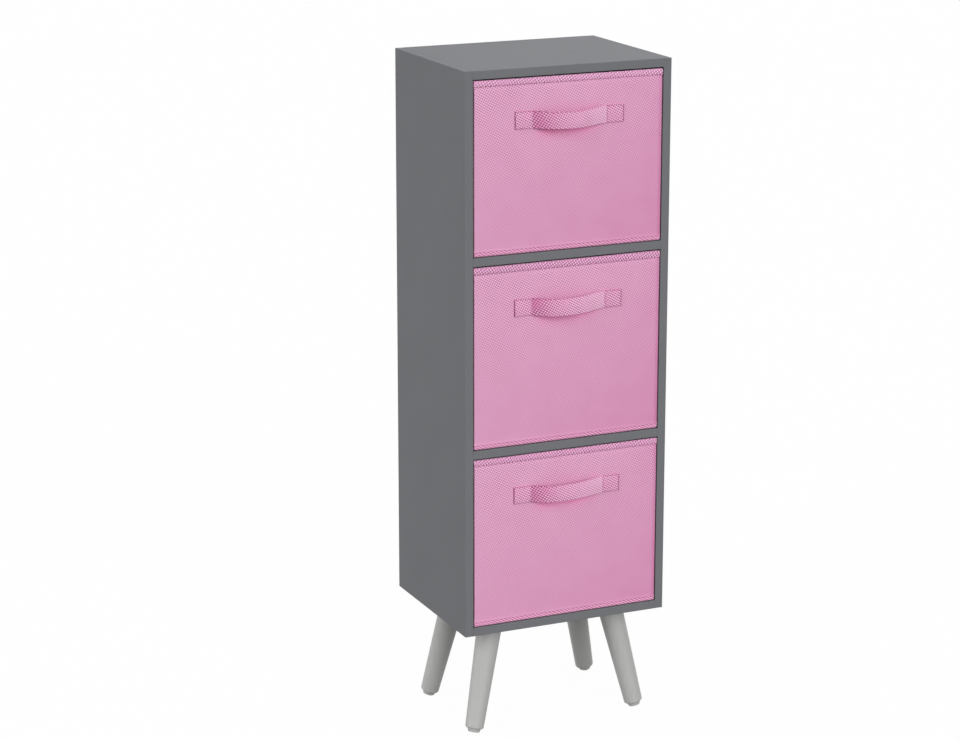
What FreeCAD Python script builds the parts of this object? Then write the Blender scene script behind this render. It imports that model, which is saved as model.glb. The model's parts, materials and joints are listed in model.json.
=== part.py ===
import FreeCAD, Part
import math
import os

from FreeCAD import Placement, Rotation, Vector

# Cube storage unit: a narrow cabinet of three compartments on four splayed legs,
# with a stiffened fabric drawer in each compartment. Millimetres, +Z up, front faces -Y.
# The origin is on the floor, in the middle of the whole unit, strap handles included.

# Cabinet boards
cabinet_width = 309.0
cabinet_depth = 240.0
board_thickness = 12.0
bottom_opening_height = 244.5
middle_opening_height = 258.5
top_opening_height = 242.0
board_edge_round = 0.5

# Back panel, held in grooves and pinned to the shelves
back_panel_thickness = 3.0
back_panel_inset = 8.0
groove_depth = 5.0
groove_play = 0.2
groove_end_play = 0.5
shelf_back_play = 0.2
pins_per_shelf = 3
pin_side_inset = 40.0
pin_length = 14.0
pin_radius = 0.7
pin_head_radius = 1.6
pin_head_height = 0.6

# Cam fittings and dowels that join the boards, with the board left behind each blind hole
cam_setback = 24.0
cam_radius = 7.4
cam_wall = 2.0
cam_skin = 2.0
cam_recess_width = 1.4
cam_recess_length = 7.0
cam_recess_depth = 1.2
bolt_skin = 3.5
bolt_thread_radius = 2.9
bolt_neck_radius = 2.4
bolt_head_radius = 3.1
bolt_head_length = 3.0
dowel_radius = 3.0
dowel_length = 26.0
dowel_skin = 4.0
dowel_edge = 0.8
fastener_play = 0.1
bore_end_play = 0.5

# Legs, with the two angles between a leg and a plumb line
leg_height = 157.0
leg_side_inset = 60.7
leg_front_inset = 50.5
leg_rear_inset = 65.0
leg_side_splay = 12.37
leg_depth_splay = 6.95
leg_top_radius = 17.8
leg_bottom_radius = 13.2
leg_top_edge = 1.0
leg_bottom_edge = 3.0

# Leg mounting plates and their fasteners
plate_size = 56.0
plate_thickness = 2.0
plate_corner = 5.0
plate_boss_radius = 11.0
plate_screw_inset = 8.0
plate_rim_clearance = 1.0
hanger_bolt_radius = 4.0
hanger_bolt_in_leg = 26.0
screw_radius = 1.9
screw_skin = 5.0
screw_head_radius = 3.8
screw_head_height = 1.8
screw_head_edge = 1.1
screw_slot_length = 4.6
screw_slot_width = 0.9
screw_slot_depth = 0.9

# Foot glides, each with a stem pushed into the leg and a small flat where it meets the floor
glide_top_radius = 10.0
glide_bottom_radius = 8.2
glide_height = 5.0
glide_flat_depth = 0.6
glide_stem_radius = 3.0
glide_stem_length = 12.0

# Fabric drawers, from the outside in
drawer_side_clearance = 1.0
drawer_top_clearance = 1.6
drawer_lift = 0.3
drawer_recess = 0.3
drawer_rear_clearance = 4.0
drawer_corner_radius = 2.5
binding_thickness = 0.5
binding_height = 8.5
cover_thickness = 1.0
wall_board_thickness = 2.5
wall_board_end_play = 0.5
lining_thickness = 0.8
base_board_thickness = 4.0
base_board_play = 0.4

# Strap handles, sewn flat at both ends and bowed between them
strap_length = 163.0
strap_tab = 26.0
strap_width = 24.5
strap_thickness = 2.0
strap_gap = 15.0
strap_foot_radius = 8.0
bottom_strap_drop = 45.2
middle_strap_drop = 48.7
top_strap_drop = 44.7

# How far a cutting solid runs past what it cuts
cut_past = 1.0

# Heights of the boards
inner_half = cabinet_width / 2 - board_thickness
half_width = cabinet_width / 2
cabinet_bottom = leg_height
lower_shelf_z = cabinet_bottom + board_thickness + bottom_opening_height
upper_shelf_z = lower_shelf_z + board_thickness + middle_opening_height
top_panel_z = upper_shelf_z + board_thickness + top_opening_height
cabinet_top = top_panel_z + board_thickness

# Depths, with the strap handles' reach shared between front and rear
strap_reach = strap_gap + strap_thickness - drawer_recess - binding_thickness
front_y = (strap_reach - cabinet_depth) / 2
rear_y = front_y + cabinet_depth
back_panel_rear_y = rear_y - back_panel_inset
back_panel_front_y = back_panel_rear_y - back_panel_thickness
shelf_rear_y = back_panel_front_y - shelf_back_play
leg_row_y = {"front": front_y + leg_front_inset, "rear": rear_y - leg_rear_inset}
dowel_y = sum(leg_row_y.values()) / 2

# Drawer outline and its layers
drawer_half = inner_half - drawer_side_clearance
drawer_front_y = front_y + drawer_recess
drawer_rear_y = back_panel_front_y - drawer_rear_clearance
cover_inset = binding_thickness
wall_board_inset = cover_inset + cover_thickness
lining_inset = wall_board_inset + wall_board_thickness
inside_inset = lining_inset + lining_thickness

# Lengths along a leg's sloping axis, measured down from the cabinet's underside
side_slope = math.tan(math.radians(leg_side_splay))
depth_slope = math.tan(math.radians(leg_depth_splay))
axis_cos = 1 / math.sqrt(1 + side_slope ** 2 + depth_slope ** 2)
axis_sin = math.sqrt(1 - axis_cos ** 2)
leg_top_s = (plate_thickness + plate_rim_clearance + leg_top_radius * axis_sin) / axis_cos
glide_bottom_z = glide_bottom_radius * axis_sin - glide_flat_depth
glide_bottom_s = (leg_height - glide_bottom_z) / axis_cos
leg_bottom_s = glide_bottom_s - glide_height

up = Vector(0, 0, 1)
down = Vector(0, 0, -1)
forward = Vector(0, -1, 0)
sides = {"left": -1, "right": 1}


def block(x0, x1, y0, y1, z0, z1):
    return Part.makeBox(x1 - x0, y1 - y0, z1 - z0, Vector(x0, y0, z0))


def rod(radius, start, direction, length):
    return Part.makeCylinder(radius, length, start, direction)


def fillet(shape, radius, wanted):
    return shape.makeFillet(radius, [edge for edge in shape.Edges if wanted(edge)])


def is_upright(edge):
    return edge.BoundBox.ZLength > edge.Length / 2


def is_front_edge(edge):
    return abs(edge.CenterOfMass.y - front_y) < 1e-6 and not is_upright(edge)


def rim_at(z):
    return lambda edge: edge.isClosed() and abs(edge.CenterOfMass.z - z) < 1e-6


def placed(shape, placement):
    moved = shape.copy()
    moved.Placement = placement
    return moved


def save(name, *solids):
    shape = solids[0] if len(solids) == 1 else Part.makeCompound(solids)
    shape.exportStep(os.path.join("parts", name + ".step"))


# Horizontal boards: name, height of the underside, rear edge, and the way its cam locks face
horizontal_boards = [
    ("bottom_panel", cabinet_bottom, rear_y, up),
    ("lower_shelf", lower_shelf_z, shelf_rear_y, down),
    ("upper_shelf", upper_shelf_z, shelf_rear_y, down),
    ("top_panel", top_panel_z, rear_y, down),
]


def mid_height(board_z):
    return board_z + board_thickness / 2


# A cam bolt is screwed into a side panel, and its head is caught in the cam lock
def cam_bolt(side, y, z):
    face = Vector(side * inner_half, y, z)
    inward = Vector(-side, 0, 0)
    thread_length = board_thickness - bolt_skin
    head_start = cam_setback - cam_radius + cam_wall
    thread = rod(bolt_thread_radius, face - inward * thread_length, inward, thread_length)
    neck = rod(bolt_neck_radius, face, inward, head_start)
    head = rod(bolt_head_radius, face + inward * head_start, inward, bolt_head_length)
    return thread.fuse([neck, head]).removeSplitter()


# One bore takes the thread in the side panel, and a wider one leads the head to the cam lock
def cam_bolt_bore(side, y, z):
    face = Vector(side * inner_half, y, z)
    inward = Vector(-side, 0, 0)
    thread_depth = board_thickness - bolt_skin + bore_end_play
    thread = rod(bolt_thread_radius + fastener_play, face - inward * thread_depth, inward, thread_depth)
    head = rod(bolt_head_radius + fastener_play, face, inward, cam_setback)
    return thread.fuse(head)


def cam_mouth(side, y, board_z, facing):
    z = board_z + board_thickness if facing == up else board_z
    return Vector(side * (inner_half - cam_setback), y, z)


# The cam lock is a drum with a slot for the bolt's neck, a room for its head and a cross recess
def cam_lock(side, y, board_z, facing):
    mouth = cam_mouth(side, y, board_z, facing)
    drum = rod(cam_radius, mouth, facing * -1, board_thickness - cam_skin)
    neck = bolt_neck_radius + fastener_play
    room = bolt_head_radius + fastener_play
    room_end = cam_radius - cam_wall + fastener_play
    room_start = room_end - bolt_head_length - 2 * fastener_play
    slot = block(room_start, cam_radius + cut_past, -neck, neck, -neck, neck)
    slot = slot.fuse(block(room_start, room_end, -room, room, -room, room))
    slot.rotate(Vector(0, 0, 0), up, 0 if side > 0 else 180)
    slot.translate(Vector(mouth.x, y, mid_height(board_z)))
    length = cam_recess_length / 2
    width = cam_recess_width / 2
    depth = cam_recess_depth
    cross = block(-length, length, -width, width, -depth, depth)
    cross = cross.fuse(block(-width, width, -length, length, -depth, depth))
    cross.translate(mouth)
    return drum.cut([slot, cross])


def cam_lock_bore(side, y, board_z, facing):
    depth = board_thickness - cam_skin + fastener_play
    return rod(cam_radius + fastener_play, cam_mouth(side, y, board_z, facing), facing * -1, depth)


def dowel(side, z):
    start = Vector(side * (inner_half + board_thickness - dowel_skin), dowel_y, z)
    body = rod(dowel_radius, start, Vector(-side, 0, 0), dowel_length)
    return body.makeChamfer(dowel_edge, [edge for edge in body.Edges if edge.isClosed()])


def dowel_bore(side, z):
    start = Vector(side * (inner_half + board_thickness - dowel_skin + bore_end_play), dowel_y, z)
    return rod(dowel_radius + fastener_play, start, Vector(-side, 0, 0), dowel_length + 2 * bore_end_play)


# Panel pins pass through the back panel into the rear edge of a shelf
def pin_places(shelf_z):
    reach = inner_half - pin_side_inset
    step = 2 * reach / (pins_per_shelf - 1)
    return [Vector(-reach + index * step, back_panel_rear_y, mid_height(shelf_z)) for index in range(pins_per_shelf)]


def panel_pin(place):
    shank = rod(pin_radius, place, forward, pin_length)
    head = rod(pin_head_radius, place, forward * -1, pin_head_height)
    return shank.fuse(head).removeSplitter()


def pin_bore(place):
    return rod(pin_radius + fastener_play, place, forward, pin_length + bore_end_play)


# The back panel's room in the boards around it
def back_panel_groove():
    reach = inner_half + groove_depth
    return block(
        -reach, reach,
        back_panel_front_y - groove_play, back_panel_rear_y + groove_play,
        cabinet_bottom + board_thickness - groove_depth, top_panel_z + groove_depth,
    )


def back_panel():
    reach = inner_half + groove_depth - groove_end_play
    sheet = block(
        -reach, reach,
        back_panel_front_y, back_panel_rear_y,
        cabinet_bottom + board_thickness - groove_depth + groove_end_play,
        top_panel_z + groove_depth - groove_end_play,
    )
    places = pin_places(lower_shelf_z) + pin_places(upper_shelf_z)
    return sheet.cut([pin_bore(place) for place in places])


def side_panel(side):
    inner = side * inner_half
    outer = side * half_width
    board = block(min(inner, outer), max(inner, outer), front_y, rear_y, cabinet_bottom, cabinet_top)
    board = board.makeFillet(board_edge_round, board.Edges)
    cuts = [back_panel_groove()]
    for _, board_z, _, _ in horizontal_boards:
        cuts += [cam_bolt_bore(side, y, mid_height(board_z)) for y in leg_row_y.values()]
        cuts.append(dowel_bore(side, mid_height(board_z)))
    return board.cut(cuts)


def horizontal_board(board_z, board_rear_y, facing):
    board = block(-inner_half, inner_half, front_y, board_rear_y, board_z, board_z + board_thickness)
    board = fillet(board, board_edge_round, is_front_edge)
    cuts = []
    for side in sides.values():
        for y in leg_row_y.values():
            cuts.append(cam_bolt_bore(side, y, mid_height(board_z)))
            cuts.append(cam_lock_bore(side, y, board_z, facing))
        cuts.append(dowel_bore(side, mid_height(board_z)))
    if board_z in (lower_shelf_z, upper_shelf_z):
        cuts += [pin_bore(place) for place in pin_places(board_z)]
    else:
        cuts.append(back_panel_groove())
    if board_z == cabinet_bottom:
        cuts += [screw_bore(place) for side in sides for row in leg_row_y for place in screw_places(side, row)]
    return board.cut(cuts)


# Each leg has a frame with +Z up its axis and its origin at the cabinet's underside
def leg_point(side, row):
    return Vector(sides[side] * (half_width - leg_side_inset), leg_row_y[row], cabinet_bottom)


def leg_frame(side, row):
    row_way = -1 if row == "front" else 1
    axis_up = Vector(-sides[side] * side_slope, -row_way * depth_slope, 1)
    return Placement(leg_point(side, row), Rotation(up, axis_up))


def leg_solid():
    top = Vector(0, 0, -leg_top_s)
    bottom = Vector(0, 0, -leg_bottom_s)
    body = Part.makeCone(leg_bottom_radius, leg_top_radius, leg_bottom_s - leg_top_s, bottom, up)
    body = fillet(body, leg_top_edge, rim_at(top.z))
    body = fillet(body, leg_bottom_edge, rim_at(bottom.z))
    bolt_bore = rod(hanger_bolt_radius + fastener_play, top, down, hanger_bolt_in_leg + bore_end_play)
    stem_bore = rod(glide_stem_radius + fastener_play, bottom, up, glide_stem_length + bore_end_play)
    return body.cut([bolt_bore, stem_bore])


# The hanger bolt ends just under the bottom panel
def hanger_bolt():
    start = Vector(0, 0, -leg_top_s - hanger_bolt_in_leg)
    end_room = hanger_bolt_radius * axis_sin / axis_cos + bore_end_play
    return rod(hanger_bolt_radius, start, up, leg_top_s + hanger_bolt_in_leg - end_room)


def foot_glide(placement):
    bottom = Vector(0, 0, -glide_bottom_s)
    foot = Part.makeCone(glide_bottom_radius, glide_top_radius, glide_height, bottom, up)
    stem = rod(glide_stem_radius, Vector(0, 0, -leg_bottom_s), up, glide_stem_length)
    below_floor = block(-half_width, half_width, front_y, rear_y, -leg_height, 0)
    return placed(foot.fuse(stem).removeSplitter(), placement).cut(below_floor)


def screw_places(side, row):
    reach = plate_size / 2 - plate_screw_inset
    corners = [(dx, dy) for dx in (-reach, reach) for dy in (-reach, reach)]
    return [leg_point(side, row) + Vector(dx, dy, -plate_thickness) for dx, dy in corners]


# A flat plate with a sloping threaded boss, so that the leg stands square to its own axis
def leg_plate(side, row):
    point = leg_point(side, row)
    half = plate_size / 2
    sheet = block(
        point.x - half, point.x + half,
        point.y - half, point.y + half,
        point.z - plate_thickness, point.z,
    )
    sheet = fillet(sheet, plate_corner, is_upright)
    boss_bottom = Vector(0, 0, -leg_top_s)
    boss_length = leg_top_s + plate_size
    boss = placed(rod(plate_boss_radius, boss_bottom, up, boss_length), leg_frame(side, row))
    bore = placed(rod(hanger_bolt_radius + fastener_play, boss_bottom, up, boss_length), leg_frame(side, row))
    cabinet_room = block(-half_width, half_width, front_y, rear_y, cabinet_bottom, cabinet_top)
    holes = [rod(screw_radius + fastener_play, place, up, plate_thickness) for place in screw_places(side, row)]
    return sheet.fuse(boss.cut(cabinet_room)).removeSplitter().cut([bore] + holes)


def plate_screw(place):
    shank = rod(screw_radius, place, up, plate_thickness + board_thickness - screw_skin)
    head = rod(screw_head_radius, place, down, screw_head_height)
    head = fillet(head, screw_head_edge, rim_at(place.z - screw_head_height))
    length = screw_slot_length / 2
    width = screw_slot_width / 2
    depth = screw_slot_depth
    cross = block(-length, length, -width, width, -depth, depth)
    cross = cross.fuse(block(-width, width, -length, length, -depth, depth))
    cross.translate(place - up * screw_head_height)
    return shank.fuse(head).removeSplitter().cut(cross)


def screw_bore(place):
    length = plate_thickness + board_thickness - screw_skin + bore_end_play
    return rod(screw_radius + fastener_play, place, up, length)


# Drawers are built from layers, each set in from the drawer's outside by its own inset
def layer_block(inset, z0, z1):
    radius = drawer_corner_radius - inset
    shape = block(
        -drawer_half + inset, drawer_half - inset,
        drawer_front_y + inset, drawer_rear_y - inset,
        z0, z1,
    )
    return fillet(shape, radius, is_upright) if radius > 0 else shape


def layer_ring(outer_inset, inner_inset, z0, z1):
    return layer_block(outer_inset, z0, z1).cut(layer_block(inner_inset, z0, z1))


def fabric_cover(bottom, top):
    outside = layer_block(cover_inset, bottom, top)
    return outside.cut(layer_block(wall_board_inset, bottom + cover_thickness, top))


# Four stiffeners, which stop short of the corners so that the cloth can fold there
def wall_boards(bottom, top):
    corner_room = max(wall_board_thickness, drawer_corner_radius - wall_board_inset)
    ends = wall_board_inset + corner_room + wall_board_end_play
    outer = wall_board_inset
    inner = lining_inset
    x_ends = (-drawer_half + ends, drawer_half - ends)
    y_ends = (drawer_front_y + ends, drawer_rear_y - ends)
    return {
        "front_board": block(*x_ends, drawer_front_y + outer, drawer_front_y + inner, bottom, top),
        "back_board": block(*x_ends, drawer_rear_y - inner, drawer_rear_y - outer, bottom, top),
        "left_board": block(-drawer_half + outer, -drawer_half + inner, *y_ends, bottom, top),
        "right_board": block(drawer_half - inner, drawer_half - outer, *y_ends, bottom, top),
    }


# The binding is a tape folded over the wall's top edge, with a leg on each face
def rim_binding(top):
    tape = layer_ring(0, inside_inset + binding_thickness, top - binding_height, top)
    wall = layer_ring(cover_inset, inside_inset, top - binding_height, top - binding_thickness)
    return tape.cut(wall)


def base_board(bottom):
    return layer_block(inside_inset + base_board_play, bottom, bottom + base_board_thickness)


# Arc about a centre, with angles measured from the way the drawer faces
def strap_arc(centre_x, centre_y, radius, start, end):
    points = []
    for angle in (start, (start + end) / 2, end):
        points.append(Vector(centre_x + radius * math.sin(angle), centre_y - radius * math.cos(angle), 0))
    return Part.Arc(*points).toShape()


# One face of the strap, set off from its middle line: tab, swing out, crown, swing in, tab
def strap_line(offset):
    middle_y = drawer_front_y + cover_inset - strap_thickness / 2
    span = strap_length / 2 - strap_tab
    swing = 2 * math.atan2(strap_gap, span)
    crown_radius = span / math.sin(swing) - strap_foot_radius
    foot_y = middle_y - strap_foot_radius
    crown_y = middle_y - strap_gap + crown_radius
    foot = strap_foot_radius - offset
    tab_y = middle_y - offset
    return [
        Part.makeLine(Vector(-strap_length / 2, tab_y, 0), Vector(-span, tab_y, 0)),
        strap_arc(-span, foot_y, foot, math.pi, math.pi - swing),
        strap_arc(0, crown_y, crown_radius + offset, -swing, swing),
        strap_arc(span, foot_y, foot, math.pi + swing, math.pi),
        Part.makeLine(Vector(span, tab_y, 0), Vector(strap_length / 2, tab_y, 0)),
    ]


def strap_handle(top):
    outer_face = strap_line(strap_thickness / 2)
    inner_face = strap_line(-strap_thickness / 2)
    seat_y = drawer_front_y + cover_inset
    ends = [
        Part.makeLine(Vector(x, seat_y - strap_thickness, 0), Vector(x, seat_y, 0))
        for x in (-strap_length / 2, strap_length / 2)
    ]
    outline = Part.Wire(Part.__sortEdges__(outer_face + inner_face + ends))
    strap = Part.Face(outline).extrude(Vector(0, 0, -strap_width))
    strap.translate(Vector(0, 0, top))
    return strap


def save_drawer(name, floor_z, opening_height, strap_drop):
    bottom = floor_z + drawer_lift
    top = floor_z + opening_height - drawer_top_clearance
    floor_top = bottom + cover_thickness
    wall_top = top - binding_thickness
    save(name + "_fabric_cover", fabric_cover(bottom, wall_top))
    for board_name, board in wall_boards(floor_top, wall_top).items():
        save(name + "_" + board_name, board)
    save(name + "_lining", layer_ring(lining_inset, inside_inset, floor_top, wall_top))
    save(name + "_base_board", base_board(floor_top))
    save(name + "_rim_binding", rim_binding(top))
    save(name + "_strap_handle", strap_handle(top - strap_drop))


os.makedirs("parts", exist_ok=True)

# Cabinet
for side_name, side in sides.items():
    save(side_name + "_side_panel", side_panel(side))
for board_name, board_z, board_rear_y, facing in horizontal_boards:
    save(board_name, horizontal_board(board_z, board_rear_y, facing))
save("back_panel", back_panel())
save("back_panel_pins", *[panel_pin(place) for place in pin_places(lower_shelf_z) + pin_places(upper_shelf_z)])

# Fittings that join the boards
bolts = []
locks = []
dowels = []
for _, board_z, _, facing in horizontal_boards:
    for side in sides.values():
        dowels.append(dowel(side, mid_height(board_z)))
        for y in leg_row_y.values():
            bolts.append(cam_bolt(side, y, mid_height(board_z)))
            locks.append(cam_lock(side, y, board_z, facing))
save("cam_bolts", *bolts)
save("cam_locks", *locks)
save("wooden_dowels", *dowels)

# Legs
hanger_bolts = []
plate_screws = []
for row_name in leg_row_y:
    for side_name in sides:
        corner = row_name + "_" + side_name
        frame = leg_frame(side_name, row_name)
        save(corner + "_leg", placed(leg_solid(), frame))
        save(corner + "_leg_plate", leg_plate(side_name, row_name))
        save(corner + "_foot_glide", foot_glide(frame))
        hanger_bolts.append(placed(hanger_bolt(), frame))
        plate_screws += [plate_screw(place) for place in screw_places(side_name, row_name)]
save("leg_hanger_bolts", *hanger_bolts)
save("leg_plate_screws", *plate_screws)

# Drawers
save_drawer("bottom_drawer", cabinet_bottom + board_thickness, bottom_opening_height, bottom_strap_drop)
save_drawer("middle_drawer", lower_shelf_z + board_thickness, middle_opening_height, middle_strap_drop)
save_drawer("top_drawer", upper_shelf_z + board_thickness, top_opening_height, top_strap_drop)
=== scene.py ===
import json
import math

import bmesh
import bpy
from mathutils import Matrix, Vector, noise


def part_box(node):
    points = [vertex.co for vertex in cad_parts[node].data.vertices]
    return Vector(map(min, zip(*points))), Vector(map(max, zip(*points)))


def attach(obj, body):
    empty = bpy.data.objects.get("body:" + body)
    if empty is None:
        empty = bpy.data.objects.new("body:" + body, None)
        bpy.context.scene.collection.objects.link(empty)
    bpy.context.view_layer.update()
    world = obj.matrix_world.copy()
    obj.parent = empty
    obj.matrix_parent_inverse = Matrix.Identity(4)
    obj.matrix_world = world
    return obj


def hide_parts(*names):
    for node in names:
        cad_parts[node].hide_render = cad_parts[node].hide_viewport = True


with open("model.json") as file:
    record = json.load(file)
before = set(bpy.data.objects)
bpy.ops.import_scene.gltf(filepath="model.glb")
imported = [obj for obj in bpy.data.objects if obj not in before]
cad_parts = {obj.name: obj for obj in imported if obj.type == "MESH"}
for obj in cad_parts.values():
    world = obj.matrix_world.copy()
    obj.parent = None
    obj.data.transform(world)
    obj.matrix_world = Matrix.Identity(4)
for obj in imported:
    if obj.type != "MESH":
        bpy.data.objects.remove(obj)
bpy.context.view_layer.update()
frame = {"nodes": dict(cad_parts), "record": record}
nodes = frame["nodes"]
drawerNames = ["top_drawer", "middle_drawer", "bottom_drawer"]
print("frame loaded:", len(nodes), "nodes")


def hexColour(code):  # sRGB hex to linear
    parts = [int(code[i:i + 2], 16) / 255 for i in (1, 3, 5)]
    return tuple(c / 12.92 if c <= 0.04045 else ((c + 0.055) / 1.055) ** 2.4 for c in parts) + (1.0,)


# Adds a node. An input is a value, a socket, or a node, which stands for its first output.
def addNode(tree, kind, inputs=None, **settings):
    node = tree.nodes.new(kind)
    for name, value in settings.items():
        setattr(node, name, value)
    for key, value in (inputs or {}).items():
        if isinstance(value, bpy.types.Node):
            value = value.outputs[0]
        if isinstance(value, bpy.types.NodeSocket):
            tree.links.new(value, node.inputs[key])
        else:
            node.inputs[key].default_value = value
    return node


def newMaterial(name):
    material = bpy.data.materials.new(name)
    material.use_nodes = True
    material.node_tree.nodes.clear()
    return material, material.node_tree


def closeMaterial(tree, shader):
    addNode(tree, "ShaderNodeOutputMaterial", {"Surface": shader})


def rampStops(ramp, stops):
    elements = ramp.color_ramp.elements
    while len(elements) < len(stops):
        elements.new(0.5)
    for element, (place, code) in zip(elements, stops):
        element.position = place
        element.color = hexColour(code)


boardLook = {
    "cloudMm": 70, "cloudDetail": 4.0, "tints": [(0.3, "#6e6f72"), (0.7, "#707174")],
    "pearlMm": 0.8, "pearlDetail": 2.0, "gloss": {"To Min": 0.42, "To Max": 0.58},
    "relief": {"Strength": 0.12, "Distance": 0.0002}, "edge": 0.0007, "edgeSamples": 4, "specular": 0.03,
}


# Melamine-faced chipboard, pressed on a fine pearl plate: satin grey, a faint mottle, a broken highlight
def melamineBoard():
    material, tree = newMaterial("greyMelamine")
    coords = addNode(tree, "ShaderNodeTexCoord").outputs["Object"]
    cloud = addNode(tree, "ShaderNodeTexNoise", {
        "Vector": coords, "Scale": 1000 / boardLook["cloudMm"], "Detail": boardLook["cloudDetail"]})
    tint = addNode(tree, "ShaderNodeValToRGB", {"Fac": cloud.outputs["Fac"]})
    rampStops(tint, boardLook["tints"])
    pearl = addNode(tree, "ShaderNodeTexNoise", {
        "Vector": coords, "Scale": 1000 / boardLook["pearlMm"], "Detail": boardLook["pearlDetail"]})
    gloss = addNode(tree, "ShaderNodeMapRange", {"Value": pearl.outputs["Fac"], **boardLook["gloss"]})
    edge = addNode(tree, "ShaderNodeBevel", {"Radius": boardLook["edge"]}, samples=boardLook["edgeSamples"])
    bump = addNode(tree, "ShaderNodeBump", {
        "Height": pearl.outputs["Fac"], "Normal": edge, **boardLook["relief"]})
    shader = addNode(tree, "ShaderNodeBsdfPrincipled", {
        "Base Color": tint.outputs["Color"], "Roughness": gloss, "Normal": bump,
        "Specular IOR Level": boardLook["specular"]})
    closeMaterial(tree, shader)
    return material


fleckedLooks = {
    # lacquered hardboard: matt, with a felted fibre fleck under the colour coat
    "back_hardboard": {
        "name": "lacqueredHardboard", "grainMm": 2.4, "detail": 6.0, "fray": 0.7,
        "tints": [(0.3, "#68686c"), (0.72, "#7c7c80")],
        "relief": {"Strength": 0.25, "Distance": 0.0003}, "surface": {"Roughness": 0.72}},
    # turned wood under pale grey paint: the long grain telegraphs through as shallow lines
    "leg_paint": {
        "name": "paintedTurnedWood", "grainMm": 2.2, "detail": 5.0, "fray": 0.6, "stretch": (1.0, 1.0, 0.06),
        "tints": [(0.25, "#a6a6a4"), (0.75, "#acacaa")],
        "gloss": {"To Min": 0.38, "To Max": 0.55}, "relief": {"Strength": 0.12, "Distance": 0.0003}},
    # moulded nylon: slightly waxy, with a fine spark-eroded skin
    "glide_plastic": {
        "name": "mouldedNylon", "grainMm": 0.5, "detail": 2.0, "tints": [(0.3, "#ababa9"), (0.7, "#b2b2b0")],
        "relief": {"Strength": 0.2, "Distance": 0.0001}, "surface": {"Roughness": 0.5, "IOR": 1.53}},
    # bright zinc plate on pressed steel: grey metal with a patchy, slightly milky gloss
    "zinc_steel": {
        "name": "brightZincSteel", "grainMm": 3.0, "detail": 4.0,
        "tints": [(0.3, "#b9bbbe"), (0.7, "#d2d4d6")],
        "gloss": {"To Min": 0.26, "To Max": 0.46}, "surface": {"Metallic": 1.0}},
    # bare beech dowel rod: short dark flecks along the grain, which runs across the cabinet
    "dowel_beech": {
        "name": "bareBeech", "grainMm": 0.8, "detail": 4.0, "stretch": (0.1, 1.0, 1.0),
        "tints": [(0.35, "#b98a5c"), (0.65, "#d8b184")], "surface": {"Roughness": 0.65}},
    # pressed buff card: speckled with paper fibre, dead matt
    "stiffener_card": {
        "name": "pressedCard", "grainMm": 1.6, "detail": 5.0, "tints": [(0.3, "#a2917a"), (0.7, "#bba98f")],
        "surface": {"Roughness": 0.9}},
    # spun polyester sewing thread: a twist of fine strands, a little deeper than the cloth
    "thread": {
        "name": "sewingThread", "grainMm": 0.5, "detail": 2.0, "tints": [(0.3, "#9c5f82"), (0.7, "#b87c9e")],
        "surface": {"Roughness": 0.6}},
}


# A plain finish has one noise, of its real grain size. It tints the colour, and where the finish has them it
# breaks up the gloss and raises a relief. Long grain is the same noise, stretched along one axis.
def fleckedFinish(
        name, grainMm, detail, tints, fray=0.5, stretch=None, gloss=None, relief=None, surface=None):
    material, tree = newMaterial(name)
    coords = addNode(tree, "ShaderNodeTexCoord").outputs["Object"]
    if stretch:
        coords = addNode(tree, "ShaderNodeMapping", {"Vector": coords, "Scale": stretch})
    fleck = addNode(tree, "ShaderNodeTexNoise", {
        "Vector": coords, "Scale": 1000 / grainMm, "Detail": detail, "Roughness": fray}).outputs["Fac"]
    tint = addNode(tree, "ShaderNodeValToRGB", {"Fac": fleck})
    rampStops(tint, tints)
    inputs = {"Base Color": tint.outputs["Color"], **(surface or {})}
    if gloss:
        inputs["Roughness"] = addNode(tree, "ShaderNodeMapRange", {"Value": fleck, **gloss})
    if relief:
        inputs["Normal"] = addNode(tree, "ShaderNodeBump", {"Height": fleck, **relief})
    closeMaterial(tree, addNode(tree, "ShaderNodeBsdfPrincipled", inputs))
    return material


feltLook = {
    # the first colour multiplier here is the pinker tint of the painted bounce light
    "wallSlope": 0.7, "shadeStops": (0.0, 0.28, 0.5, 1.0), "bounceTint": (1.42, 0.91, 1.12, 1.0), "relief": 0.5,
    "endRim": {"From Min": 0.978, "From Max": 0.99}, "topRim": {"From Min": 0.85, "From Max": 0.95},
    "rowDetail": {"Detail": 1.0, "Detail Scale": 1.0},
    "patchMm": 14, "patchDetail": 2.0,
    "worn": {"From Min": 0.3, "From Max": 0.7, "To Min": 0.5, "To Max": 1.5},
    "cloudMm": 45, "cloudDetail": 3.0, "drift": {"To Min": 0.46, "To Max": 0.54},
    "surface": {"Roughness": 0.85, "Sheen Weight": 0.1, "Sheen Roughness": 0.5, "Specular IOR Level": 0.25},
}
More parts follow.
